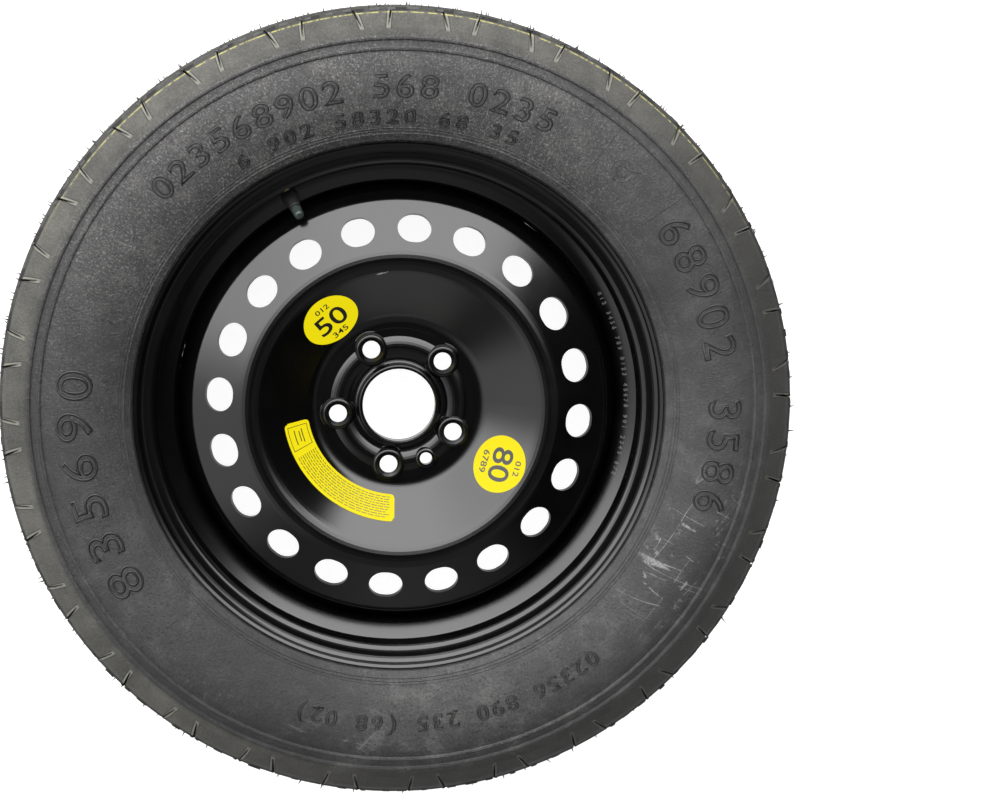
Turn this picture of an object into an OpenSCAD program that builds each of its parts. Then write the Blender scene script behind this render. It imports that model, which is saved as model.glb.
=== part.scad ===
// Space saver spare wheel: narrow tyre, rolled steel rim, pressed steel disc, snap-in valve.
// The wheel lies on its back sidewall, street side up. The origin is the centre of the hub
// mounting face, +Z is the wheel's axis towards the street side.

/* [Tyre] */
// Outer diameter of the tyre
tyre_d = 710.8; // [690:0.2:730]
// Widest section of the tyre
section_w = 155; // [145:1:165]
// Where the sidewall is widest, in per cent of its height over the flange
bulge_at = 45.4; // [38:0.2:52]
// Radius of the crown across the tread
crown_r = 420; // [300:10:600]
// Width across the outer tread grooves
groove_span = 76; // [70:1:80]
// Width of a tread groove
groove_w = 6; // [4:0.5:8]
// Depth of a tread groove
groove_depth = 4; // [2:0.5:5]
// Thickness of the tread and belts at the crown
crown_t = 11; // [9:0.5:13]
// Thickness of the sidewall
wall_t = 7; // [5:0.5:8]
// Number of pairs of shoulder slots on each side
slot_pairs = 28; // [20:1:32]
// Width of a shoulder slot
slot_w = 1.8; // [1:0.1:3]
// Depth of a shoulder slot
slot_depth = 2.2; // [1:0.1:3]
// Direction of the first shoulder slot
slot_start = 110.2; // [0:0.1:360]

/* [Rim] */
// Diameter of the bead seats
seat_d = 436.6; // [430:0.1:442]
// Width between the flanges
rim_w = 101.6; // [98:0.1:106]
// Height of the flanges over the bead seats
flange_h = 17.3; // [16:0.1:18]
// Thickness of the rim sheet
rim_t = 2.6; // [2:0.1:3]
// Depth of the well under the bead seats
well_depth = 17.8; // [17:0.1:20]

/* [Disc] */
// Thickness of the disc sheet
disc_t = 3.6; // [3.2:0.1:4.5]
// Distance from the tyre's middle plane to the hub mounting face
offset = 26; // [22:1:30]
// Diameter of the centre bore
bore_d = 65.1; // [62:0.1:68]
// Diameter of the wheel bolt circle
pcd = 110; // [106:0.5:114]
// Number of wheel bolt holes
bolts = 5; // [4:1:5]
// Diameter of a wheel bolt hole
bolt_hole_d = 16; // [14:0.1:17]
// Diameter of the locating hole
locating_d = 11; // [8:0.5:12]
// Direction of the first bolt hole
bolt_start = 44.4; // [0:0.1:72]
// Height at which the inner and the outer slope would meet, over the mounting face
crest_h = 44.5; // [38:0.5:48]
// Radius at which the two slopes would meet
crest_r = 131; // [126:1:136]
// Bend radius of the crest between the slopes
crest_bend = 22; // [12:1:26]
// Slope of the outer cone that holds the vents
cone_angle = 25.5; // [22:0.5:28]

/* [Vents] */
// Number of vent holes
vents = 20; // [12:1:22]
// Radius of the vent circle
vent_r = 160.5; // [156:0.5:164]
// Length of a vent around the wheel
vent_l = 30; // [24:0.5:34]
// Width of a vent down the slope
vent_w = 27; // [20:0.5:30]
// Direction of the first vent
vent_start = 103.4; // [0:0.1:360]

/* [Valve] */
// Direction of the valve around the wheel
valve_turn = 117.4; // [0:0.1:360]
// Diameter of the valve hole in the rim
valve_hole_d = 11.3; // [11:0.1:12]
// Length of the valve from the rim to the mouth of its stem
valve_l = 31; // [28:0.5:34]
// Diameter of the valve thread
valve_thread_d = 7.7; // [7.4:0.1:8]
// Diameter of the valve cap
cap_d = 9.2; // [9:0.1:10]
// Height of the valve cap
cap_h = 12.5; // [11:0.5:14]
// Travel of the core pin
pin_travel = 1.5; // [0.8:0.1:2]

/* [Labels] */
// Diameter of the round labels
label_d = 52; // [40:1:56]
// Thickness of the labels
label_t = 0.25; // [0.1:0.05:0.5]
// Direction and distance of the label for 50
label_50_turn = 128.2; // [0:0.1:360]
// Distance of the label for 50 from the axis
label_50_r = 98; // [92:0.5:104]
// Direction of the label for 80
label_80_turn = -30.4; // [-180:0.1:180]
// Distance of the label for 80 from the axis
label_80_r = 105; // [98:0.5:110]
// Inner radius of the curved label
band_r0 = 82; // [80:0.5:86]
// Outer radius of the curved label
band_r1 = 104; // [100:0.5:108]
// Direction where the curved label begins
band_start = 188.7; // [0:0.1:360]
// Angle that the curved label spans
band_span = 78.6; // [60:0.1:90]
// Corner radius of the curved label
band_corner = 3; // [1:0.5:5]

/* [Hidden] */
$fn = 96;

// Clearance of a seated piece, and of a piece that slides
fit = 0.1;
slide_fit = 0.05;
mid_z = -offset;
seat_r = seat_d / 2;
half_rim = rim_w / 2;
tyre_r = tyre_d / 2;
half_w = section_w / 2;
// Radius and centre of the curl at the top of each flange
curl_r = 9.5;
lip_turn = 28;
curl_c = [seat_r + flange_h - curl_r, half_rim + curl_r];

black_rubber = [0.13, 0.13, 0.13];
black_paint = [0.05, 0.05, 0.055];
brass = [0.78, 0.62, 0.32];
yellow = [1, 0.93, 0];

// Points of an arc about c, from angle a0 to a1
function arc(c, r, a0, a1, n = 8) =
    [for (i = [0:n]) let (a = a0 + (a1 - a0) * i / n) [c[0] + r * cos(a), c[1] + r * sin(a)]];

function unit(v) = v / norm(v);

// One corner [x, y, bend radius] of a bent path, as the points of its bend
function bend(p, c, q, n) =
    let (u = unit([p[0] - c[0], p[1] - c[1]]),
         v = unit([q[0] - c[0], q[1] - c[1]]),
         half = acos(u * v) / 2,
         k = unit(u + v),
         m = [c[0], c[1]] + k * c[2] / sin(half),
         side = sign(u[0] * v[1] - u[1] * v[0]),
         a0 = atan2(-k[1], -k[0]),
         sweep = 90 - half)
    [for (i = [0:n]) let (a = a0 + side * sweep * (1 - 2 * i / n)) m + c[2] * [cos(a), sin(a)]];

// A path of corners [x, y, bend radius] with each corner bent
function bent_path(pts, n = 6) =
    [for (i = [0:len(pts) - 1])
        each (i == 0 || i == len(pts) - 1 || pts[i][2] == 0)
            ? [[pts[i][0], pts[i][1]]]
            : bend(pts[i - 1], pts[i], pts[i + 1], n)];

// The unit normal on the left of a path at each of its points
function left_normals(p) =
    [for (i = [0:len(p) - 1])
        let (a = unit(p[min(i + 1, len(p) - 1)] - p[i] + (i == len(p) - 1 ? p[i] - p[i - 1] : [0, 0])),
             b = unit(p[i] - p[max(i - 1, 0)] + (i == 0 ? p[1] - p[0] : [0, 0])),
             t = unit(a + b))
        [-t[1], t[0]]];

// Outline of a sheet of thickness t on the left of a path
function sheet(p, t) =
    let (n = left_normals(p), last = len(p) - 1)
    concat(p, [for (i = [last:-1:0]) p[i] + n[i] * t]);

// Tyre

// Height of the tread surface at a distance z from the middle plane
function tread_r(z) = tyre_r - (crown_r - sqrt(crown_r * crown_r - z * z));

// Point on a smooth cubic through two ends with chosen handles
function cubic(a, b, c, d, t) =
    a * pow(1 - t, 3) + 3 * b * t * pow(1 - t, 2) + 3 * c * t * t * (1 - t) + d * pow(t, 3);

groove_z = groove_span / 2;
inner_groove_z = groove_z / 3;
shoulder_z = groove_z + 11;
bead_face_z = half_rim - fit;
flange_top = seat_r + flange_h;
// One hundredth of the sidewall's height over the flange
side = (tyre_r - flange_top) / 100;
bulge_r = flange_top + bulge_at * side;
buttress = [tyre_r - 16.7 * side, half_w - 12.5];
ring_1 = [tyre_r - 24.6 * side, half_w - 9.2];
ring_2 = [tyre_r - 32.1 * side, half_w - 6.6];
ring_rise = 1;

// One groove of the tread, walked from its inner edge to its outer edge
function groove(z) =
    [[tread_r(z - groove_w / 2), z - groove_w / 2],
     [tread_r(z) - groove_depth, z - groove_w / 2 + 1],
     [tread_r(z) - groove_depth, z + groove_w / 2 - 1],
     [tread_r(z + groove_w / 2), z + groove_w / 2]];

// Outer surface of one half, from the crown to the bead toe
tyre_outer = concat(
    [[tyre_r, 0]],
    groove(inner_groove_z),
    [[tread_r(groove_z * 0.66), groove_z * 0.66]],
    groove(groove_z),
    [[tread_r(shoulder_z), shoulder_z],
     [tread_r(shoulder_z) - 2.2, shoulder_z + 4.5],
     [tread_r(shoulder_z) - 6, shoulder_z + 8.5],
     buttress,
     [ring_1[0] + 3, ring_1[1] - 1],
     [ring_1[0] + 0.8, ring_1[1] + ring_rise],
     [ring_1[0] - 0.8, ring_1[1] + ring_rise],
     [ring_1[0] - 1.8, ring_1[1]],
     [ring_2[0] + 1.8, ring_2[1] - 0.5],
     [ring_2[0] + 0.8, ring_2[1] + ring_rise],
     [ring_2[0] - 0.8, ring_2[1] + ring_rise],
     [ring_2[0] - 2, ring_2[1]]],
    [for (i = [1:5]) cubic([ring_2[0] - 2, ring_2[1]], [ring_2[0] - 10 * side, half_w - 1],
        [bulge_r + 5 * side, half_w], [bulge_r - 3.3 * side, half_w], i / 5)],
    [for (i = [1:7]) cubic([bulge_r - 3.3 * side, half_w], [bulge_r - 18 * side, half_w],
        [flange_top + 18 * side, half_w - 3.5], [flange_top + 8.5, half_w - 9], i / 7)],
    [[flange_top + 7.6, half_w - 8.8],
     [flange_top + 5.6, half_w - 10.4],
     [flange_top + 2, half_rim + 13.6],
     [flange_top + 0.4, half_rim + 10.5]],
    arc(curl_c, curl_r + 2 * fit, 5, -78, 6),
    [[seat_r + 7, bead_face_z],
     [seat_r + 2.5, bead_face_z - 1.6],
     [seat_r + fit, bead_face_z - 6],
     [seat_r - 1 + fit, half_rim - 17.5]]);

// Inner surface of one half, from the bead toe back to the crown
tyre_inner = concat(
    [[seat_r + 1.5, half_rim - 19],
     [seat_r + 9, half_rim - 15],
     [flange_top + 3, half_rim - 4]],
    [for (i = [0:5]) cubic([flange_top + 10 * side, half_rim + 5], [bulge_r - 27 * side, half_w - wall_t],
        [bulge_r - 12.5 * side, half_w - wall_t], [bulge_r, half_w - wall_t], i / 5)],
    [for (i = [1:6]) cubic([bulge_r, half_w - wall_t], [bulge_r + 18 * side, half_w - wall_t],
        [tyre_r - crown_t - 2, groove_z + 22], [tyre_r - crown_t - 1.5, groove_z], i / 6)],
    [[tyre_r - crown_t, 0]]);

tyre_half = concat(tyre_outer, tyre_inner);

module slot(turn, lean) {
    // The slot starts in the outer groove and runs over the shoulder to the buttress
    slot_l = norm([buttress[0] - tread_r(groove_z), buttress[1] - groove_z]) + 3;
    slope = atan2(tread_r(groove_z) - buttress[0], buttress[1] - groove_z);
    rotate([0, 0, turn])
        translate([tread_r(groove_z), 0, groove_z])
            rotate([0, -slope, 0])
                rotate([lean, 0, 0])
                    translate([2.4 - slot_depth, -slot_w / 2, -1])
                        cube([12, slot_w, slot_l]);
}

module tyre() {
    color(black_rubber)
        translate([0, 0, mid_z])
            difference() {
                rotate_extrude($fn = 180)
                    polygon(concat(tyre_half,
                        [for (i = [len(tyre_half) - 2:-1:1]) [tyre_half[i][0], -tyre_half[i][1]]]));
                for (i = [0:slot_pairs - 1], side = [0, 1]) {
                    mirror([0, 0, side]) {
                        slot(slot_start + i * 360 / slot_pairs, 16);
                        slot(slot_start + (i + 0.5) * 360 / slot_pairs, -9);
                    }
                }
            }
}

// Rim

// Radius of the sheet's tyre side in the well
well_r = seat_r - well_depth;
// The wall between the front hump and the well leans with the valve that it carries
valve_tilt = 30;
hump = [seat_r + 0.6, half_rim - 20.5];
wall_foot = [well_r, hump[1] - (hump[0] - well_r) * tan(valve_tilt)];
seat_foot = [seat_r - 1.5, half_rim - 16.5];
back_well_z = -16;

// Turns a path to the other side of the middle plane
function mirrored(p) = [for (i = [len(p) - 1:-1:0]) [p[i][0], -p[i][1]]];

// Tyre side of the rim, from the front lip to the back lip
rim_path = concat(
    arc(curl_c, curl_r, lip_turn, -84, 8),
    bent_path([
        [curl_c[0], half_rim, 0],
        [seat_r, half_rim, 5],
        [seat_foot[0], seat_foot[1], 3],
        [hump[0], hump[1], 2.6],
        [wall_foot[0], wall_foot[1], 7],
        [well_r, back_well_z, 9],
        [hump[0], -hump[1], 2.6],
        [seat_foot[0], -seat_foot[1], 3],
        [seat_r, -half_rim, 5],
        [curl_c[0], -half_rim, 0]]),
    mirrored(arc(curl_c, curl_r, lip_turn, -84, 8)));

// Places a piece along the valve's axis, with its origin on the rim's street side
module at_valve() {
    seat = (hump + wall_foot) / 2 + rim_t * [-sin(valve_tilt), cos(valve_tilt)];
    rotate([0, 0, valve_turn])
        translate([seat[0], 0, mid_z + seat[1]])
            rotate([0, -valve_tilt, 0])
                children();
}

module rim() {
    color(black_paint)
        difference() {
            translate([0, 0, mid_z])
                rotate_extrude($fn = 180)
                    polygon(sheet(rim_path, -rim_t));
            at_valve()
                translate([0, 0, -3 * rim_t])
                    cylinder(d = valve_hole_d, h = 6 * rim_t);
        }
}

// Disc

hub_front = disc_t;
flange_r = well_r - rim_t - fit;
disc_edge_z = -34;
valley_r = 77;
cone_foot_r = flange_r - 12;

// Height of the outer cone at a radius
function cone_z(r) = crest_h - (r - crest_r) * tan(cone_angle);

// Front of the disc, from the hub to the weld flange
disc_front = bent_path([
    [bore_d / 2 + disc_t + 5, hub_front, 0],
    [valley_r, hub_front, 16],
    [crest_r, crest_h, crest_bend],
    [cone_foot_r, cone_z(cone_foot_r), 9],
    [flange_r, mid_z + 11, 20],
    [flange_r, disc_edge_z, 0]], 8);

// Hub collar round the bore, turned towards the street side
collar_h = 13;
collar_t = 3.6;

module collar() {
    rotate_extrude($fn = 120)
        polygon(concat(
            [[bore_d / 2, 0], [bore_d / 2 + disc_t + 6, 0], [bore_d / 2 + disc_t + 6, hub_front]],
            arc([bore_d / 2 + collar_t + 3.5, hub_front + 3.5], 3.5, -90, -180, 5),
            arc([bore_d / 2 + collar_t - 1.4, collar_h - 1.4], 1.4, 0, 90, 4),
            [[bore_d / 2 + 1.2, collar_h], [bore_d / 2, collar_h - 1.2]]));
}

// The raised ring that joins the bolt seats, pressed up from the mounting face
ring_in = 42;
ring_out = 63;
ring_h = 3;

module raised_ring() {
    rotate_extrude($fn = 120)
        polygon(concat(
            [[ring_in, hub_front - 1]],
            [for (i = [0:10]) let (k = i / 10) [ring_in + (ring_out - ring_in) * k,
                hub_front + ring_h * pow(sin(180 * k), 0.8)]],
            [[ring_out, hub_front - 1]]));
}

// Flat step of the mounting face, seen as a thin edge round the hub
step_r = 68.5;
step_h = 1;

// A domed boss round a hole of the bolt circle, solid down to the mounting face
module boss(foot_r, top_r, h) {
    rotate_extrude($fn = 64)
        polygon(concat(
            [[0, 0], [foot_r + 2, 0]],
            bent_path([[foot_r + 2, hub_front - 0.5, 0], [foot_r - 1, hub_front + 0.2, 3],
                       [top_r + 1, hub_front + h, 2.5], [0, hub_front + h, 0]], 4)));
}

module at_bolts() {
    for (i = [0:bolts - 1]) {
        rotate([0, 0, bolt_start + i * 360 / bolts])
            translate([pcd / 2, 0, 0])
                children();
    }
}

module at_locating_hole() {
    rotate([0, 0, bolt_start + 3.5 * 360 / bolts])
        translate([pcd / 2, 0, 0])
            children();
}

// One vent, cut square to the slope of the outer cone
module vent_cut() {
    half = (vent_l - vent_w) / 2;
    for (s = [-1, 1]) {
        translate([0, s * half, -12])
            cylinder(d = vent_w, h = 24);
    }
    translate([-vent_w / 2, -half, -12])
        cube([vent_w, 2 * half, 24]);
}

boss_h = 6;
boss_r = 16;
locating_boss_r = 12;
bolt_seat_d = bolt_hole_d + 6;

module disc() {
    color(black_paint)
        difference() {
            union() {
                rotate_extrude($fn = 180)
                    polygon(sheet(disc_front, -disc_t));
                collar();
                raised_ring();
                difference() {
                    cylinder(r = step_r, h = hub_front + step_h);
                    translate([0, 0, -1])
                        cylinder(r = ring_out - 2, h = hub_front + 3);
                }
                at_bolts()
                    boss(boss_r, bolt_seat_d / 2 + 1.5, boss_h);
                at_locating_hole()
                    boss(locating_boss_r, locating_d / 2 + 2, ring_h + 1.5);
            }
            // The press leaves a hollow behind the ring and each seat
            rotate_extrude($fn = 120)
                polygon([[ring_in + 3, -1], [ring_in + 5.5, ring_h - 0.6],
                         [ring_out - 5.5, ring_h - 0.6], [ring_out - 3, -1]]);
            at_bolts() {
                translate([0, 0, -1])
                    cylinder(d = bolt_hole_d, h = 30);
                translate([0, 0, hub_front + boss_h - 3])
                    cylinder(d1 = bolt_hole_d, d2 = bolt_seat_d, h = 3.01);
                translate([0, 0, -1])
                    cylinder(r1 = boss_r - 4, r2 = bolt_hole_d / 2 + 0.6, h = boss_h - 1.4);
            }
            at_locating_hole() {
                translate([0, 0, -1])
                    cylinder(d = locating_d, h = 30);
            }
            for (i = [0:vents - 1]) {
                rotate([0, 0, vent_start - i * 360 / vents])
                    translate([vent_r, 0, cone_z(vent_r)])
                        rotate([0, cone_angle, 0])
                            vent_cut();
            }
        }
}

// Fillet welds between the edge of the disc and the well
weld_n = 8;
weld_span = 24;
weld_leg = 4;

module disc_welds() {
    color([0.1, 0.1, 0.1])
        for (i = [0:weld_n - 1]) {
            rotate([0, 0, i * 360 / weld_n + 9])
                rotate_extrude(angle = weld_span, $fn = 180)
                    polygon([[flange_r, disc_edge_z - slide_fit],
                             [flange_r - weld_leg, disc_edge_z - slide_fit],
                             [flange_r - weld_leg * 0.4, disc_edge_z - weld_leg * 0.7],
                             [flange_r, disc_edge_z - weld_leg]]);
        }
}

// Valve, along its own axis with the rim's street side at 0

stem_r = valve_thread_d / 2;
collar_top = 3;
rubber_top = 19;
bulb_r = valve_hole_d / 2 + 3.6;
inside = -rim_t;
stem_foot = inside - 9;
tube_r = 2.6;
core_bore_r = 2.62;
barrel_bore_r = 2.1;
air_bore_r = 1.3;
plug_foot = valve_l - 6.5;
core_foot = valve_l - 18;
cup_h = 1.6;
cup_room = core_foot - cup_h - pin_travel - 0.9;

module valve_body() {
    color(black_rubber)
        at_valve()
            rotate_extrude($fn = 64)
                polygon([[tube_r + slide_fit, stem_foot + 1],
                         [6.2, stem_foot + 1], [bulb_r, inside - 4], [bulb_r, inside - 1.2],
                         [valve_hole_d / 2 + 0.8, inside - fit], [valve_hole_d / 2 - fit, inside - fit],
                         [valve_hole_d / 2 - fit, fit], [7.6, fit], [7.8, 1.4], [7, collar_top],
                         [5.6, 9], [5, rubber_top - 1], [4.5, rubber_top], [tube_r + slide_fit, rubber_top]]);
}

module valve_stem() {
    color(brass)
        at_valve()
            rotate_extrude($fn = 64)
                polygon([[air_bore_r, stem_foot], [3.4, stem_foot], [3.4, stem_foot + 0.9],
                         [tube_r, stem_foot + 0.9], [tube_r, rubber_top + 0.1],
                         [stem_r, rubber_top + 0.6], [stem_r, valve_l - 0.5], [stem_r - 0.5, valve_l],
                         [core_bore_r, valve_l], [core_bore_r, plug_foot - 0.4],
                         [barrel_bore_r, plug_foot - 2.2], [barrel_bore_r, cup_room], [air_bore_r, cup_room - 1]]);
}

// Screwed head of the core, with a slot either side of the pin
module core_plug() {
    color(brass)
        at_valve()
            translate([0, 0, plug_foot])
                difference() {
                    cylinder(r = core_bore_r - slide_fit, h = 5.2);
                    translate([0, 0, -1])
                        cylinder(r = 0.75, h = 8);
                    for (s = [-1, 1]) {
                        translate([s * 2.4 - 0.9, -3, 2.6])
                            cube([1.8, 6, 4]);
                    }
                }
}

barrel_r = 1.75;
barrel_top = plug_foot - slide_fit;

module core_barrel() {
    color(brass)
        at_valve()
            rotate_extrude($fn = 48)
                polygon([[1.35, barrel_top], [barrel_r, barrel_top], [barrel_r, barrel_top - 0.6],
                         [1.5, barrel_top - 0.8], [1.5, barrel_top - 2.8],
                         [barrel_r, barrel_top - 3], [barrel_r, core_foot + 1], [0.7, core_foot + 1],
                         [0.7, core_foot + 1.8], [1.35, core_foot + 1.8]]);
}

module barrel_seal() {
    color([0.85, 0.2, 0.15])
        at_valve()
            rotate_extrude($fn = 48)
                polygon([[1.5 + slide_fit, barrel_top - 0.85], [2.25, barrel_top - 0.85],
                         [2.0, barrel_top - 2.75], [1.5 + slide_fit, barrel_top - 2.75]]);
}

pin_top = valve_l - 0.4;
pin_r = 0.42;

module core_pin() {
    color([0.75, 0.75, 0.72])
        at_valve() {
            translate([0, 0, core_foot - cup_h])
                cylinder(r = pin_r, h = pin_top - core_foot + cup_h, $fn = 24);
            translate([0, 0, pin_top - 0.5])
                cylinder(r = 0.65, h = 0.5, $fn = 32);
            translate([0, 0, plug_foot - 0.7])
                cylinder(r = 1.1, h = 0.4, $fn = 32);
        }
}

// Coil spring between the shoulder of the pin and the foot of the barrel
spring_r = 1.05;
wire_r = 0.16;
spring_turns = 8;

module core_spring() {
    z0 = core_foot + 1.8 + wire_r + slide_fit;
    z1 = plug_foot - 0.7 - wire_r - slide_fit;
    steps = 12 * spring_turns;
    sides = 6;
    rings = [for (i = [0:steps], k = [0:sides - 1])
        let (a = 360 * spring_turns * i / steps,
             b = 360 * k / sides,
             r = spring_r + wire_r * cos(b))
        [r * cos(a), r * sin(a), z0 + (z1 - z0) * i / steps + wire_r * sin(b)]];
    walls = [for (i = [0:steps - 1], k = [0:sides - 1])
        let (a = i * sides + k, b = i * sides + (k + 1) % sides)
        [a, a + sides, b + sides, b]];
    caps = [[for (k = [0:sides - 1]) k], [for (k = [sides - 1:-1:0]) steps * sides + k]];
    color([0.7, 0.7, 0.7])
        at_valve()
            polyhedron(points = rings, faces = concat(walls, caps));
}

module core_cup() {
    color(brass)
        at_valve()
            translate([0, 0, core_foot - cup_h])
                difference() {
                    cylinder(r = 1.7, h = cup_h, $fn = 48);
                    translate([0, 0, 0.6])
                        cylinder(r = 1.45, h = 2, $fn = 48);
                    translate([0, 0, -1])
                        cylinder(r = pin_r + slide_fit, h = 4, $fn = 24);
                }
}

module cup_seal() {
    color([0.1, 0.1, 0.1])
        at_valve()
            translate([0, 0, core_foot - cup_h + 0.6 + slide_fit])
                difference() {
                    cylinder(r = 1.45 - slide_fit, h = cup_h + 0.3, $fn = 48);
                    translate([0, 0, -1])
                        cylinder(r = pin_r + slide_fit, h = 4, $fn = 24);
                }
}

cap_wall = (cap_d - valve_thread_d) / 2 - 0.15;
cap_foot = valve_l + 2.6 - cap_h;
cap_roof = valve_l + 1;

module valve_cap() {
    cap_r = cap_d / 2;
    color([0.16, 0.18, 0.17])
        at_valve()
            rotate_extrude($fn = 64)
                polygon(concat(
                    [[cap_r - cap_wall, cap_foot], [cap_r - 0.2, cap_foot], [cap_r, cap_foot + 0.4],
                     [cap_r - 0.3, cap_foot + cap_h * 0.66]],
                    arc([cap_r - 2.9, cap_foot + cap_h - 2.6], 2.6, 0, 90, 6),
                    [[0, cap_foot + cap_h + 0.1], [0, cap_roof], [cap_r - cap_wall, cap_roof]]));
}

module cap_seal() {
    color([0.1, 0.1, 0.1])
        at_valve()
            translate([0, 0, valve_l + slide_fit])
                difference() {
                    cylinder(r = cap_d / 2 - cap_wall - slide_fit, h = 1 - 2 * slide_fit, $fn = 48);
                    translate([0, 0, -1])
                        cylinder(r = 1.2, h = 4, $fn = 32);
                }
}

// Labels: thin skins that lie on the front of the disc

skin = [for (p = disc_front) if (p[0] > pcd / 2 + 5 && p[0] < vent_r - 10) p];

module skin_shell() {
    n = left_normals(skin);
    rotate_extrude($fn = 180)
        polygon(concat(
            [for (i = [0:len(skin) - 1]) skin[i] + n[i] * slide_fit],
            [for (i = [len(skin) - 1:-1:0]) skin[i] + n[i] * (slide_fit + label_t)]));
}

// A round label, cut square to the slope where it lies
module round_label(turn, r, lean) {
    color(yellow)
        intersection() {
            skin_shell();
            rotate([0, 0, turn])
                translate([r, 0, crest_h / 2])
                    rotate([0, -lean, 0])
                        cylinder(d = label_d, h = 2.5 * crest_h, center = true);
        }
}

module label_50() {
    round_label(label_50_turn, label_50_r, 36);
}

module label_80() {
    round_label(label_80_turn, label_80_r, 30);
}

// Plan of the curved label: a band round the axis with round corners
module band_plan() {
    corner_turn = asin(band_corner / band_r0);
    module sector(r0, r1, a0, a1) {
        intersection() {
            difference() {
                circle(r = r1, $fn = 180);
                circle(r = r0, $fn = 180);
            }
            polygon([[0, 0], for (i = [0:4]) let (a = a0 + (a1 - a0) * i / 4) 2 * r1 * [cos(a), sin(a)]]);
        }
    }
    a1 = band_start + band_span;
    sector(band_r0 + band_corner, band_r1 - band_corner, band_start, a1);
    sector(band_r0, band_r1, band_start + corner_turn, a1 - corner_turn);
    for (a = [band_start + corner_turn, a1 - corner_turn], r = [band_r0 + band_corner, band_r1 - band_corner]) {
        translate(r * [cos(a), sin(a)])
            circle(r = band_corner * 0.96, $fn = 32);
    }
}

module label_curved() {
    color(yellow)
        intersection() {
            skin_shell();
            linear_extrude(height = 2 * crest_h)
                band_plan();
        }
}

tyre();
rim();
disc();
disc_welds();
valve_body();
valve_stem();
valve_cap();
cap_seal();
core_plug();
core_barrel();
barrel_seal();
core_pin();
core_spring();
core_cup();
cup_seal();
label_50();
label_80();
label_curved();
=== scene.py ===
"""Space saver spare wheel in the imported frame: paint, rubber, fine marks, light and camera."""

import math

import bmesh
import bpy
import numpy as np
from mathutils import Matrix, Vector
from mathutils.bvhtree import BVHTree


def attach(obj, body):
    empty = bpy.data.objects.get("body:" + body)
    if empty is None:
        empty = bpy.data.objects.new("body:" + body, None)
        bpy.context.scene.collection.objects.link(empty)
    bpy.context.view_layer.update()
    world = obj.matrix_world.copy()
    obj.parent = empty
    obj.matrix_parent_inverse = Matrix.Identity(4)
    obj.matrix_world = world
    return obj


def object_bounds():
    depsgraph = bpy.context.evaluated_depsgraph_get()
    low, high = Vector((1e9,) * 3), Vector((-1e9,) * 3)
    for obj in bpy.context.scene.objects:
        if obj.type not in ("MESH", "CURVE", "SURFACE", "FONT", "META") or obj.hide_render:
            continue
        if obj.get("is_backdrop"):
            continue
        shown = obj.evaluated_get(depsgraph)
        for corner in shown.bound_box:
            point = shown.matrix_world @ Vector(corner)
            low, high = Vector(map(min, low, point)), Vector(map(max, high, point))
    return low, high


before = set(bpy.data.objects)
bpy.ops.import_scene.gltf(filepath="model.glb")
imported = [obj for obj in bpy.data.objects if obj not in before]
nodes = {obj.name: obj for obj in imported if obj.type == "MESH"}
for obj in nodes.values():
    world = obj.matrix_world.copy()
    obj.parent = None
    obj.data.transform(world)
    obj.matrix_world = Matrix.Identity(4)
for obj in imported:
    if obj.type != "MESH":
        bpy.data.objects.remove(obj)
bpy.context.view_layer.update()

TAU = 2 * math.pi
# The tyre's middle plane
MID_Z = sum(f(v.co.z for v in nodes["tyre"].data.vertices) for f in (min, max)) / 2
# A height over every piece, and how far print stands off its film
ABOVE, PRINT_LIFT = 0.2, 0.00006


# Shader helpers

def put(tree, socket, value):
    """Links a shader value to a socket, or sets the socket to a constant."""
    if isinstance(value, Value):
        tree.links.new(value.socket, socket)
    else:
        socket.default_value = value


def math_node(tree, kind, *values):
    node = tree.nodes.new("ShaderNodeMath")
    node.operation = kind
    for i, v in enumerate(values):
        put(tree, node.inputs[i], v)
    return Value(tree, node.outputs[0])


class Value:
    """A number in a shader. Its operators add math nodes."""

    def __init__(self, tree, socket):
        self.tree, self.socket = tree, socket

    def op(self, kind, *others):
        return math_node(self.tree, kind, self, *others)

    def __add__(self, o):
        return self.op("ADD", o)

    def __mul__(self, o):
        return self.op("MULTIPLY", o)

    def __sub__(self, o):
        return self.op("SUBTRACT", o)

    def __truediv__(self, o):
        return self.op("DIVIDE", o)

    def __rsub__(self, o):
        return math_node(self.tree, "SUBTRACT", o, self)

    def __rtruediv__(self, o):
        return math_node(self.tree, "DIVIDE", o, self)

    __radd__, __rmul__ = __add__, __mul__

    def abs(self):
        return self.op("ABSOLUTE")

    def power(self, o):
        return self.op("POWER", o)

    def least(self, o):
        return self.op("MINIMUM", o)

    def most(self, o):
        return self.op("MAXIMUM", o)

    def wrap(self, low, high):
        return self.op("WRAP", high, low)

    def step(self, low, high):
        """0 below low, 1 above high, smooth between; low may be over high for a falling step."""
        node = self.tree.nodes.new("ShaderNodeMapRange")
        node.interpolation_type = "SMOOTHSTEP"
        flip = low > high
        put(self.tree, node.inputs["Value"], self)
        node.inputs["From Min"].default_value = min(low, high)
        node.inputs["From Max"].default_value = max(low, high)
        node.inputs["To Min"].default_value = 1.0 if flip else 0.0
        node.inputs["To Max"].default_value = 0.0 if flip else 1.0
        return Value(self.tree, node.outputs["Result"])

    def near(self, at, width):
        """1 at a value, 0 further than width from it."""
        return (self - at).abs().step(width, width * 0.3)


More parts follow.
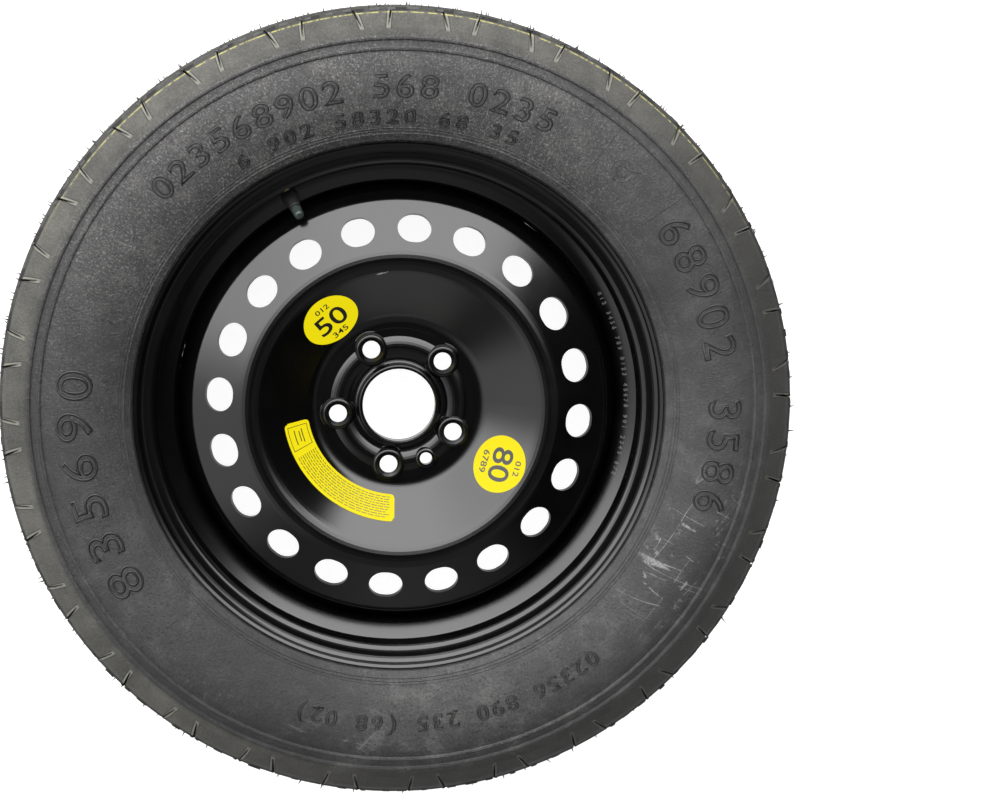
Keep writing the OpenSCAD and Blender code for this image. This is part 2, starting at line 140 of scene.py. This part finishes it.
class Finish:
    """A procedural material on a Principled shader, with patterns in object coordinates."""

    def __init__(self, name, color=(0.5, 0.5, 0.5), **fixed):
        self.mat = bpy.data.materials.new(name)
        self.mat.use_nodes = True
        self.tree = self.mat.node_tree
        self.shader = self.tree.nodes["Principled BSDF"]
        self.set("Base Color", (*color, 1))
        for k, v in fixed.items():
            self.set(k.replace("_", " "), v)

    def set(self, name, value):
        put(self.tree, self.shader.inputs[name], value)

    def node(self, kind, inputs, out=0, **props):
        n = self.tree.nodes.new(kind)
        for k, v in props.items():
            setattr(n, k, v)
        for k, v in inputs.items():
            put(self.tree, n.inputs[k], v)
        return Value(self.tree, n.outputs[out])

    def place(self):
        """The object coordinates x, y, z."""
        co = self.node("ShaderNodeTexCoord", {}, "Object")
        return [self.node("ShaderNodeSeparateXYZ", {"Vector": co}, i) for i in range(3)]

    def vector(self, x, y, z):
        return self.node("ShaderNodeCombineXYZ", {"X": x, "Y": y, "Z": z})

    def noise(self, vector, scale, detail=3.0, rough=0.55):
        return self.node("ShaderNodeTexNoise", {"Vector": vector, "Scale": scale,
                                                "Detail": detail, "Roughness": rough}, "Fac")

    def mix(self, factor, a, b):
        """Colour a where factor is 0 and b where it is 1."""
        n = self.tree.nodes.new("ShaderNodeMix")
        n.data_type = "RGBA"
        for i, v in ((0, factor), (6, a), (7, b)):
            put(self.tree, n.inputs[i], (*v, 1) if isinstance(v, tuple) and len(v) == 3 else v)
        return Value(self.tree, n.outputs[2])

    def bump(self, height, distance=0.001, strength=1.0):
        self.set("Normal", self.node("ShaderNodeBump", {"Height": height, "Distance": distance,
                                                        "Strength": strength}, "Normal"))


# Mesh helpers

def object_from(name, verts, faces, finish, slot, body="root", smooth=True):
    """A mesh object in the row frame that rides on a CAD body."""
    mesh = bpy.data.meshes.new(name)
    mesh.from_pydata(np.asarray(verts).tolist(), [], [list(map(int, f)) for f in faces])
    mesh.polygons.foreach_set("use_smooth", [smooth] * len(mesh.polygons))
    mesh.materials.append(finish.mat)
    obj = bpy.data.objects.new(name, mesh)
    bpy.context.scene.collection.objects.link(obj)
    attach(obj, body)
    return obj


def join(parts):
    """Joins (verts, faces) pairs into one pair."""
    verts, faces, base = [], [], 0
    for v, f in parts:
        verts.append(np.asarray(v, float))
        faces.extend([[base + i for i in face] for face in f])
        base += len(v)
    return np.concatenate(verts), faces


def strip(grid):
    """Quads over a grid of points (rows, columns, 3): each cell takes its four corners."""
    rows, cols = grid.shape[:2]
    i = np.arange(rows - 1)[:, None]
    j = np.arange(cols - 1)[None, :]
    k = i + 1
    quads = np.stack([i * cols + j, k * cols + j, k * cols + j + 1, i * cols + j + 1], -1)
    return grid.reshape(-1, 3), quads.reshape(-1, 4).tolist()


def tree_of(name):
    """A search tree of a CAD node's faces, for laying fine things on its surface."""
    mesh = nodes[name].data
    co = np.zeros(len(mesh.vertices) * 3)
    mesh.vertices.foreach_get("co", co)
    return BVHTree.FromPolygons(co.reshape(-1, 3).tolist(),
                                [list(p.vertices) for p in mesh.polygons])


def drop(tree, x, y):
    """Where lines down the axis through x, y first meet a surface: points and normals."""
    points, normals = [], []
    for px, py in zip(np.ravel(x), np.ravel(y)):
        p, n, _, _ = tree.ray_cast(Vector((px, py, ABOVE)), Vector((0, 0, -1)))
        points.append(p if p is not None else Vector((px, py, MID_Z)))
        normals.append(n if n is not None else Vector((0, 0, 1)))
    return np.array(points), np.array(normals)


# Section of a ridge: shares of its width across and of its height up
RIDGE = np.array([(-0.5, -0.25), (-0.3, 0.7), (0, 1), (0.3, 0.7), (0.5, -0.25)])


def ridge(tree, x, y, width, height):
    """A low round ridge on the surface along the path x, y.

    Each point of the path is dropped on the surface, and the section is set out there, across
    the path by the cross product of normal and direction, and up along the normal.
    """
    p, n = drop(tree, x, y)
    along = np.gradient(p, axis=0)
    along /= np.linalg.norm(along, axis=1)[:, None]
    across = np.cross(n, along)
    grid = (p[:, None] + across[:, None] * (RIDGE[:, 0] * width)[None, :, None]
            + n[:, None] * (RIDGE[:, 1] * height)[None, :, None])
    return strip(grid)


def polar(r, a):
    """x, y of radius r in metres and direction a in degrees."""
    a = np.radians(a)
    return r * np.cos(a), r * np.sin(a)


def arc_ridge(tree, r, a0, a1, width, height, step=0.5):
    """A ridge along an arc of radius r round the axis, from a0 to a1 degrees."""
    a = np.linspace(a0, a1, max(int(abs(a1 - a0) / step), 2) + 1)
    return ridge(tree, *polar(np.full(len(a), r), a), width, height)


def radial_ridge(tree, r0, r1, a0, a1, width, height, count=24):
    """A ridge outwards from radius r0 to r1, its direction going evenly from a0 to a1."""
    path = polar(np.linspace(r0, r1, count), np.linspace(a0, a1, count))
    return ridge(tree, *path, width, height)


def text_mesh(body, height, bevel=0.0, cut=0.0, width=1.0):
    """Numerals as (verts, faces) in their own plane, centred: outlined with a bevel or filled."""
    curve = bpy.data.curves.new("numerals", "FONT")
    curve.body = body
    curve.size = height / 0.7
    curve.align_x = curve.align_y = "CENTER"
    curve.resolution_u = 4
    if bevel:
        curve.fill_mode = "NONE"
        curve.bevel_depth = bevel
        curve.bevel_resolution = 0
    else:
        curve.offset = height * 0.014
    obj = bpy.data.objects.new("numerals", curve)
    bpy.context.scene.collection.objects.link(obj)
    mesh = bpy.data.meshes.new_from_object(obj.evaluated_get(bpy.context.evaluated_depsgraph_get()))
    bpy.data.objects.remove(obj)
    b = bmesh.new()
    b.from_mesh(mesh)
    if cut:
        span = height * len(body)
        for axis in (0, 1):
            for at in np.arange(-span, span, cut):
                co, no = [0, 0, 0], [0, 0, 0]
                co[axis], no[axis] = at, 1
                bmesh.ops.bisect_plane(b, geom=b.verts[:] + b.edges[:] + b.faces[:],
                                       plane_co=co, plane_no=no)
    b.to_mesh(mesh)
    b.free()
    verts = np.array([v.co for v in mesh.vertices], float)
    faces = [list(p.vertices) for p in mesh.polygons]
    middle = (verts.min(0) + verts.max(0)) / 2
    verts[:, :2] -= middle[:2]
    verts[:, 0] *= width
    return verts, faces


def round_text(tree, body, height, r, a, bevel, spread=1.0, width=1.0):
    """Outlined numerals that stand round the axis with their feet towards it.

    A numeral's height becomes radius, its width divided by r becomes an angle, and its depth
    goes along the normal of the surface under it.
    """
    parts = []
    for i, ch in enumerate(body):
        if ch == " ":
            continue
        verts, faces = text_mesh(ch, height, bevel, width=width)
        turn = a - math.degrees((i - (len(body) - 1) / 2) * height * spread / r)
        t = np.radians(turn) - verts[:, 0] / r
        p, n = drop(tree, (r + verts[:, 1]) * np.cos(t), (r + verts[:, 1]) * np.sin(t))
        parts.append((p + n * verts[:, 2:3], faces))
    return join(parts)


# Finishes

def rubber():
    """Dusty rubber: speckled sidewall, olive shoulder, slots of painted highlight and shade,
    painted shade at the sides, a paint line.
    """
    f = Finish("tyre rubber", Roughness=0.62)
    f.set("Specular IOR Level", 0.3)
    x, y, z = f.place()
    r = (x * x + y * y).power(0.5)
    a = math_node(f.tree, "ARCTAN2", y, x)
    spot = f.vector(x, y, z)
    cloud = f.noise(spot, 13, 4, 0.6)
    patch = f.noise(spot, 45, 4, 0.65)
    speck = f.noise(spot, 520, 3, 0.75)
    # Short streaks that run towards the axis, bent by the clouds
    bent = cloud * 0.06
    streak = f.noise(f.vector((a + bent) * 0.3, r * 0.32 + bent, z * 0.2), 900, 3, 0.7)
    over = y.step(-0.16, 0.26) * (1 - x.step(0.05, 0.25) * 0.6)
    calm = x.step(0.10, 0.28) * 0.18
    low = y.step(-0.22, -0.30)
    pits = f.noise(f.vector(y, z, x), 430, 3, 0.75)
    dust = (speck.step(0.52, 0.68) * (0.25 - calm + over * 0.75)
            + streak.step(0.55, 0.70) * (0.2 + over * 0.7)
            + patch.step(0.45, 0.72) * 0.15)
    dust = dust * (0.55 + cloud.step(0.30, 0.62) * 0.45) + low * patch.step(0.5, 0.7) * 0.2
    base = f.mix(patch.step(0.3, 0.7) * 0.5 + cloud.step(0.3, 0.7) * 0.5,
                 (0.028, 0.0275, 0.028), (0.044, 0.043, 0.043))
    base = f.mix((dust * 0.75).least(0.9), base, (0.185, 0.180, 0.175))
    base = f.mix(pits.step(0.46, 0.36) * (0.75 - calm * 2), base, (0.010, 0.010, 0.010))
    # Thin bright scratches and scuffs, mostly low on the right
    turn = a.wrap(-math.pi, math.pi)
    place = (turn.near(-0.48, 0.36) * r.near(0.285, 0.045)
             + turn.near(-1.9, 0.7) * r.near(0.30, 0.02) * 0.4)
    lines = 0.0
    for lean in (48, -28):
        c, n = math.cos(math.radians(lean)), math.sin(math.radians(lean))
        drawn = f.noise(f.vector(y * c - x * n, (x * c + y * n) * 0.12, z * 0.1), 34, 2, 0.5)
        both = drawn.near(0.46, 0.006) + drawn.near(0.56, 0.005)
        lines = both * patch.step(0.47, 0.55) + lines
    lines = lines * speck.step(0.32, 0.5)
    scuff = f.noise(spot, 95, 5, 0.75).step(0.60, 0.72)
    base = f.mix((place * (lines * 0.65 + scuff * 0.35)).least(0.7), base, (0.27, 0.27, 0.27))
    # Painted shade: darker on the left, low on the left and on the right
    dim = turn.abs().step(2.55, 2.95) * 0.9 + turn.near(-2.05, 0.42) + turn.near(0.30, 0.35) * 0.6
    base = f.mix(dim.least(1.0) * 0.45, base, (0.012, 0.012, 0.012))
    # Shoulder, with painted shade that darkens it towards the lower right
    shoulder = r.step(*SHOULDER_R)
    worn = cloud.step(0.3, 0.7) * 0.4 + patch.step(0.3, 0.7) * 0.3 + speck.step(0.4, 0.7) * 0.3
    tint = f.mix(worn, (0.030, 0.0295, 0.026), (0.105, 0.103, 0.090))
    painted_shade_lower_right = (x - y * 0.7).step(-0.05, 0.28)
    tint = f.mix(painted_shade_lower_right * 0.85, tint, (0.010, 0.0098, 0.0095))
    base = f.mix(shoulder * 0.85, base, tint)
    base = f.mix(r.near(RING_R, 0.0045) * 0.35, base, (0.018, 0.018, 0.018))
    # Slots: light middles, a painted highlight for the lit slot wall, between dark edges of painted
    # shade in the groove
    zm = (z - MID_Z).abs()
    run = (zm - GROOVE_Z) * (1 / math.cos(SHOULDER_TILT))
    on = zm.step(GROOVE_Z - 0.001, GROOVE_Z) * run.step(0.0335, 0.0325) * r.step(0.318, 0.322)
    for start, lean in ((0.0, 16), (0.5, -9)):
        at = math.radians(SLOT_START + start * 360 / SLOTS)
        across = a - at + run * math.tan(math.radians(lean)) / r
        off = (across.wrap(-math.pi / SLOTS, math.pi / SLOTS) * r).abs()
        base = f.mix(on * off.step(0.0031, 0.0025) * 0.8, base, (0.012, 0.012, 0.012))
        painted_slot_highlight = on * off.step(0.0021, 0.0017) * (0.85 - painted_shade_lower_right * 0.6)
        base = f.mix(painted_slot_highlight, base, (0.175, 0.172, 0.148))
    # Outer band: darker, with knots where the slots meet it, inside a broken paint line
    outer = r.step(0.338, 0.342)
    tread = zm.step(BAND_Z + 0.0006, BAND_Z - 0.0006) * outer
    knot = ((a * (SLOTS / TAU * 2)).wrap(0.0, 1.0) - 0.5).abs().step(0.24, 0.34)
    base = f.mix(tread * (0.45 + knot * zm.step(0.0425, 0.047) * 0.5), base, (0.008, 0.008, 0.008))
    front = z.step(MID_Z, MID_Z + 0.001)
    line = (zm - (BAND_Z + 0.0012)).abs().step(0.0007, 0.0003) * front * outer
    gaps = f.noise(f.vector(a * 0.3, 0.0, 0.0), 160, 3, 0.7).step(0.42, 0.55)
    line = line * gaps * (y - x.abs() * 0.3).step(0.03, 0.18)
    base = f.mix(line * 0.85, base, (0.34, 0.32, 0.10))
    f.set("Base Color", base)
    f.set("Roughness", 0.50 + patch * 0.2 + tread * 0.25)
    f.bump(speck * 0.6 + streak * 0.5 + pits * 0.4 + patch * 0.5, 0.0016, 0.8)
    return f


def paint(name, gloss, dirt):
    """Black baked paint with a soft sheen and a trace of dust."""
    black = (0.0012, 0.0012, 0.0013)
    f = Finish(name, color=black)
    f.set("Specular IOR Level", 0.6)
    x, y, z = f.place()
    spot = f.vector(x, y, z)
    cloud = f.noise(spot, 16, 4, 0.6)
    grain = f.noise(spot, 420, 3, 0.6)
    base = f.mix(cloud.step(0.5, 0.8) * dirt, black, (0.03, 0.029, 0.026))
    # A short scratch on the crest
    nick = x.near(-0.016, 0.0065) * (y - x * 0.25).near(0.1245, 0.0009) * grain.step(0.4, 0.55)
    base = f.mix(nick * 0.8, base, (0.35, 0.35, 0.33))
    f.set("Base Color", base)
    f.set("Roughness", gloss + cloud * 0.06)
    f.bump(grain, 0.0002, 0.12)
    return f


def plain(name, color, rough, grain=200, depth=0.0002, **more):
    """One colour with a fine grain."""
    f = Finish(name, color=color, Roughness=rough, **more)
    x, y, z = f.place()
    n = f.noise(f.vector(x, y, z), grain, 3, 0.6)
    f.set("Roughness", rough + (n - 0.5) * 0.12)
    f.bump(n, depth, 0.3)
    return f


def film():
    """Bright yellow label film, a little paler towards thin spots; its glow is painted light that
    keeps it bright where little light falls.
    """
    f = Finish("label film", Roughness=0.5)
    f.set("Specular IOR Level", 0.08)
    x, y, z = f.place()
    n = f.noise(f.vector(x, y, z), 60, 4, 0.6)
    f.set("Base Color", f.mix(n.step(0.35, 0.75) * 0.25,
                              (0.10, 0.085, 0.001), (0.11, 0.097, 0.006)))
    # Painted light: the film glows though it is no lamp
    f.set("Emission Color", (0.95, 0.80, 0.005, 1))
    f.set("Emission Strength", 0.80)
    return f


# Half the tread's width between its outer grooves, and between the paint lines
GROOVE_Z, BAND_Z = 0.038, 0.0542
# The slope of the shoulder, where it begins, and the ring under it
SHOULDER_TILT, SHOULDER_R, RING_R = math.radians(34.1), (0.3265, 0.3320), 0.3232
# Pairs of slots across the shoulder, and the direction of the first
SLOTS, SLOT_START = 28, 110.2

RUBBER = rubber()
# Painted shade in part: moulded edges on the numerals and the tread's lumps are darker than the
# rubber, so the ridges read as shaded
SHADED_EDGE = plain("moulded edge", (0.011, 0.011, 0.011), 0.36)
RIM = paint("rim paint", 0.16, 0.08)
DISC = paint("disc paint", 0.15, 0.05)
WELD = plain("weld paint", (0.012, 0.012, 0.012), 0.5, 900, 0.0006)
SNAP = plain("valve rubber", (0.012, 0.012, 0.012), 0.55)
BRASS = plain("brass", (0.62, 0.44, 0.17), 0.28, 500, Metallic=1.0)
CAP = plain("cap plastic", (0.030, 0.040, 0.036), 0.30)
SEAL = plain("seal rubber", (0.02, 0.02, 0.02), 0.6)
NYLON = plain("seal plastic", (0.60, 0.05, 0.04), 0.4)
PIN = plain("pin steel", (0.62, 0.60, 0.55), 0.3, 500, Metallic=1.0)
GLOWING_FILM = film()
INK = plain("label print", (0.010, 0.010, 0.010), 0.45)

FINISHES = {
    "tyre": RUBBER, "rim": RIM, "disc": DISC, "disc_welds": WELD, "valve_body": SNAP,
    "valve_stem": BRASS, "valve_cap": CAP, "cap_seal": SEAL, "core_plug": BRASS,
    "core_barrel": BRASS, "barrel_seal": NYLON, "core_pin": PIN, "core_spring": PIN,
    "core_cup": BRASS, "cup_seal": SEAL, "label_50": GLOWING_FILM, "label_80": GLOWING_FILM, "label_curved": GLOWING_FILM,
}
for name, obj in nodes.items():
    obj.data.materials.clear()
    obj.data.materials.append(FINISHES[name].mat)


# Fine marks on the tyre

TYRE = tree_of("tyre")


def sidewall_marks():
    """Mould ribs, ticks on the rings, bead rings and a round mould mark."""
    parts = []
    for r, width, height in ((0.2462, 0.0010, 0.0006), (0.2485, 0.0009, 0.0005)):
        parts.append(arc_ridge(TYRE, r, 0, 360, width, height))
    for a, r0, r1 in ((37.7, 0.268, 0.316), (52.6, 0.262, 0.316), (146.6, 0.276, 0.314),
                      (162.6, 0.262, 0.316), (223.0, 0.266, 0.315), (318.0, 0.264, 0.314)):
        parts.append(radial_ridge(TYRE, r0, r1, a, a - 0.6, 0.0007, 0.0005))
    for a in np.arange(8.0, 360, 15.45):
        parts.append(radial_ridge(TYRE, 0.3245, 0.3285, a, a, 0.0008, 0.0008, 5))
        parts.append(radial_ridge(TYRE, 0.3155, 0.3185, a + 4, a + 4, 0.0007, 0.0007, 5))
    cx, cy = polar(0.2865, 47.5)
    t = np.linspace(0, TAU, 41)
    for rr in (0.0098, 0.0052):
        parts.append(ridge(TYRE, cx + rr * np.cos(t), cy + rr * np.sin(t), 0.0007, 0.0005))
    s = np.linspace(0.0055, 0.016, 8)
    parts.append(ridge(TYRE, cx + s, cy - s * 0.12, 0.0008, 0.0006))
    return join(parts)


def sidewall_numerals():
    """Plain outlined numerals: text, height, radius, direction, stroke, spread and width."""
    rows = (("023568902 568 0235", 0.0205, 0.2855, 100.0, 0.0008, 1.04, 1.2),
            ("6 902 58320 68 35", 0.0125, 0.2590, 95.0, 0.0006, 1.22, 1.2),
            ("68902 3586", 0.0290, 0.2885, 8.2, 0.0009, 0.97, 1.05),
            ("835690", 0.0300, 0.2860, 193.5, 0.0010, 1.22, 1.3),
            ("02356 890 235 (68 02)", 0.0140, 0.2830, 279.5, 0.0006, 0.98, 1.1))
    return join([round_text(TYRE, *row) for row in rows])


def hairs():
    """Thin moulding hairs on the tread: a five-sided foot round a point, and a leaning tip."""
    rng = np.random.default_rng(7)
    places, missing, foot = 96, 0.25, 0.0008
    parts = []
    k = np.arange(5)
    for row, zm in enumerate((-0.048, -0.030, -0.020, 0.0, 0.020, 0.030, 0.048)):
        for i in range(places):
            if rng.random() < missing:
                continue
            a = TAU * (i + 0.35 * rng.random() + 0.14 * row) / places
            z = MID_Z + zm + rng.uniform(-0.002, 0.002)
            out = Vector((math.cos(a), math.sin(a), 0))
            hit, _, _, _ = TYRE.ray_cast(Vector((0.45 * out.x, 0.45 * out.y, z)), -out)
            if hit is None:
                continue
            base = np.array(hit) - np.array(out) * 0.0004
            lean = rng.normal(0, 0.25, 3)
            tip = base + (np.array(out) + lean) * rng.uniform(0.0028, 0.0055)
            side = np.cross(np.array(out), (0, 0, 1))
            ring = base + foot * (np.cos(TAU * k / 5)[:, None] * side
                                  + np.sin(TAU * k / 5)[:, None] * np.array([0, 0, 1]))
            parts.append((np.vstack([ring, tip]), [[j, (j + 1) % 5, 5] for j in range(5)]))
    return join(parts)


def edge_lumps():
    """Worn block edges along the tread's rim, as short low ridges of uneven length."""
    rng = np.random.default_rng(5)
    parts = []
    count = 4 * SLOTS
    for a in np.arange(count) * 360 / count + SLOT_START:
        a += rng.uniform(-0.5, 0.5)
        long = rng.uniform(0.35, 0.95)
        parts.append(arc_ridge(TYRE, rng.uniform(0.3508, 0.3522), a - long, a + long, 0.0034,
                               rng.uniform(0.0006, 0.0016), 0.3))
    return join(parts)


object_from("tyre_edge", *edge_lumps(), SHADED_EDGE, "tyre")
object_from("tyre_marks", *sidewall_marks(), RUBBER, "tyre")
object_from("tyre_numerals", *sidewall_numerals(), SHADED_EDGE, "tyre")
object_from("tyre_hairs", *hairs(), RUBBER, "tyre")


# Worn stamped numerals on the rim's ledge

STAMP = plain("worn stamp", (0.16, 0.16, 0.155), 0.5)
stamps = round_text(tree_of("rim"), "012 3456 789 0123 45678 901 2345 678",
                    0.0034, 0.2062, 5.0, 0.00016, 1.42)
object_from("rim_stamps", *stamps, STAMP, "rim_paint")


# Print on the labels

def label_print(name, label, text, height, place, width, shift=0.0):
    """Numerals laid on a round label; its place is (radius, direction, slope, way of the heads).

    They are set out on the label's plane round its middle and dropped on it along its normal.
    """
    r, a, lean, up = place
    tree = tree_of(label)
    verts, faces = text_mesh(text, height, cut=0.003, width=width)
    t, slope, u = math.radians(a), math.radians(lean), math.radians(up)
    normal = np.array([-math.sin(slope) * math.cos(t), -math.sin(slope) * math.sin(t),
                       math.cos(slope)])
    head = np.array([math.cos(u), math.sin(u), 0])
    head = head - normal * (head @ normal)
    head /= np.linalg.norm(head)
    right = np.cross(head, normal)
    middle, _ = drop(tree, *np.transpose([polar(r, a)]))
    pts = middle[0] + np.outer(verts[:, 0], right) + np.outer(verts[:, 1] + shift, head)
    laid = []
    for p in pts:
        hit, n, _, _ = tree.ray_cast(Vector(p + normal * 0.02), Vector(-normal))
        laid.append(np.array(hit) + np.array(n) * PRINT_LIFT if hit is not None else p)
    object_from(name, np.array(laid), faces, INK, "label_film")


for number, place, foot, foot_height in (
        ("50", (0.098, 128.2, 36, 129.0), "345", 0.0064),
        ("80", (0.105, -30.4, 30, -15.4), "6789", 0.0062)):
    film_node = "label_" + number
    label_print("print_" + number, film_node, number, 0.0205, place, 1.1)
    label_print("print_" + number + "_top", film_node, "012", 0.0056, place, 1.2, 0.0168)
    label_print("print_" + number + "_foot", film_node, foot, foot_height, place, 1.2, -0.0170)


def curved_print():
    """Rows of short bars like small print, and a thin frame at the label's left end."""
    rng = np.random.default_rng(11)
    tree = tree_of("label_curved")
    parts = []

    def bar(r, a0, a1, high):
        a = np.linspace(a0, a1, max(int((a1 - a0) / 1.5), 1) + 1)
        rr, aa = np.meshgrid([r - high / 2, r + high / 2], a)
        p, n = drop(tree, *polar(rr.ravel(), aa.ravel()))
        parts.append(strip((p + n * PRINT_LIFT).reshape(len(a), 2, 3)))

    for r in np.arange(0.0845, 0.1020, 0.00205):
        at = 207.0
        while at < 263:
            span = rng.uniform(1.2, 4.2)
            bar(r, at, min(at + span, 264.5), 0.00055)
            at += span + 0.55
    for r in (0.0845, 0.1015):
        bar(r, 190.8, 203.5, 0.0005)
    for a in (190.8, 203.2):
        bar(0.093, a, a + 0.35, 0.017)
    for r, a0, a1 in ((0.0900, 193, 201), (0.0925, 194, 200), (0.0965, 193, 201)):
        bar(r, a0, a1, 0.0008)
    return join(parts)


object_from("print_curved", *curved_print(), INK, "label_film", smooth=False)


# Light, floor and camera

def sky():
    """A bright open side over the wheel's head, dim on the left, dark in front and on the right."""
    world = bpy.data.worlds.new("sky")
    bpy.context.scene.world = world
    world.use_nodes = True
    tree = world.node_tree
    co = tree.nodes.new("ShaderNodeTexCoord")
    sep = tree.nodes.new("ShaderNodeSeparateXYZ")
    tree.links.new(co.outputs["Generated"], sep.inputs[0])
    x, y, z = (Value(tree, sep.outputs[i]) for i in range(3))
    left = (x * -1).step(0.15, 0.65)
    head = (y + left * 0.12).step(0.03, 0.42) * x.step(0.68, 0.48) * (5.3 - left * 1.9)
    side = left * (y * -1).step(0.75, 0.45) * 0.9
    foot = (y * -1).step(0.82, 0.97) * 0.4
    rest = z.step(0.985, 0.85) * x.step(0.65, 0.40) * 0.2
    back = tree.nodes["Background"]
    shade = tree.nodes.new("ShaderNodeCombineColor")
    for i in range(3):
        put(tree, shade.inputs[i], head + side + foot + rest + 0.01)
    tree.links.new(shade.outputs[0], back.inputs["Color"])


sky()


def floor():
    """A white floor that the wheel lies on, seen as bright paper with a faint shadow."""
    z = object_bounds()[0].z - 0.0002
    mesh = bpy.data.meshes.new("floor")
    half = 6.0
    mesh.from_pydata([(-half, -half, z), (half, -half, z), (half, half, z), (-half, half, z)],
                     [], [(0, 1, 2, 3)])
    mat = bpy.data.materials.new("floor")
    mat.use_nodes = True
    tree = mat.node_tree
    tree.nodes.clear()
    out = tree.nodes.new("ShaderNodeOutputMaterial")
    path = tree.nodes.new("ShaderNodeLightPath")
    glossy = Value(tree, path.outputs["Is Glossy Ray"])
    seen = Value(tree, path.outputs["Is Camera Ray"]).most(glossy)
    glow = tree.nodes.new("ShaderNodeEmission")
    put(tree, glow.inputs["Strength"], seen * 0.93)
    matt = tree.nodes.new("ShaderNodeBsdfDiffuse")
    matt.inputs["Color"].default_value = (0.35, 0.35, 0.35, 1)
    add = tree.nodes.new("ShaderNodeAddShader")
    tree.links.new(glow.outputs[0], add.inputs[0])
    tree.links.new(matt.outputs[0], add.inputs[1])
    tree.links.new(add.outputs[0], out.inputs["Surface"])
    mesh.materials.append(mat)
    obj = bpy.data.objects.new("floor", mesh)
    bpy.context.scene.collection.objects.link(obj)
    obj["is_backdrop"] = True


floor()


def camera():
    """The photo's view, slightly above and left of the axis, with the wheel left of the middle."""
    rise, side, distance = math.radians(7.60), math.radians(-2.73), 2.515
    focal, px, py = 2765.0, 397.0, 399.3
    back = Vector((math.sin(side) * math.cos(rise), math.sin(rise),
                   math.cos(side) * math.cos(rise)))
    right = Vector((0, 1, 0)).cross(back).normalized()
    up = back.cross(right)
    base = Matrix((right, up, back)).transposed()
    aim = Vector(((px - 500) / focal, (400 - py) / focal, -1)).normalized()
    turn = aim.rotation_difference(Vector((0, 0, -1))).to_matrix()
    data = bpy.data.cameras.new("camera")
    data.sensor_width = 36
    data.lens = 0.036 * focal
    data.clip_end = 30
    obj = bpy.data.objects.new("camera", data)
    bpy.context.scene.collection.objects.link(obj)
    obj.location = Vector((0, 0, MID_Z)) + back * distance
    obj.rotation_mode = "QUATERNION"
    obj.rotation_quaternion = (base @ turn).to_quaternion()
    bpy.context.scene.camera = obj


camera()
bpy.context.scene.view_settings.view_transform = "Standard"
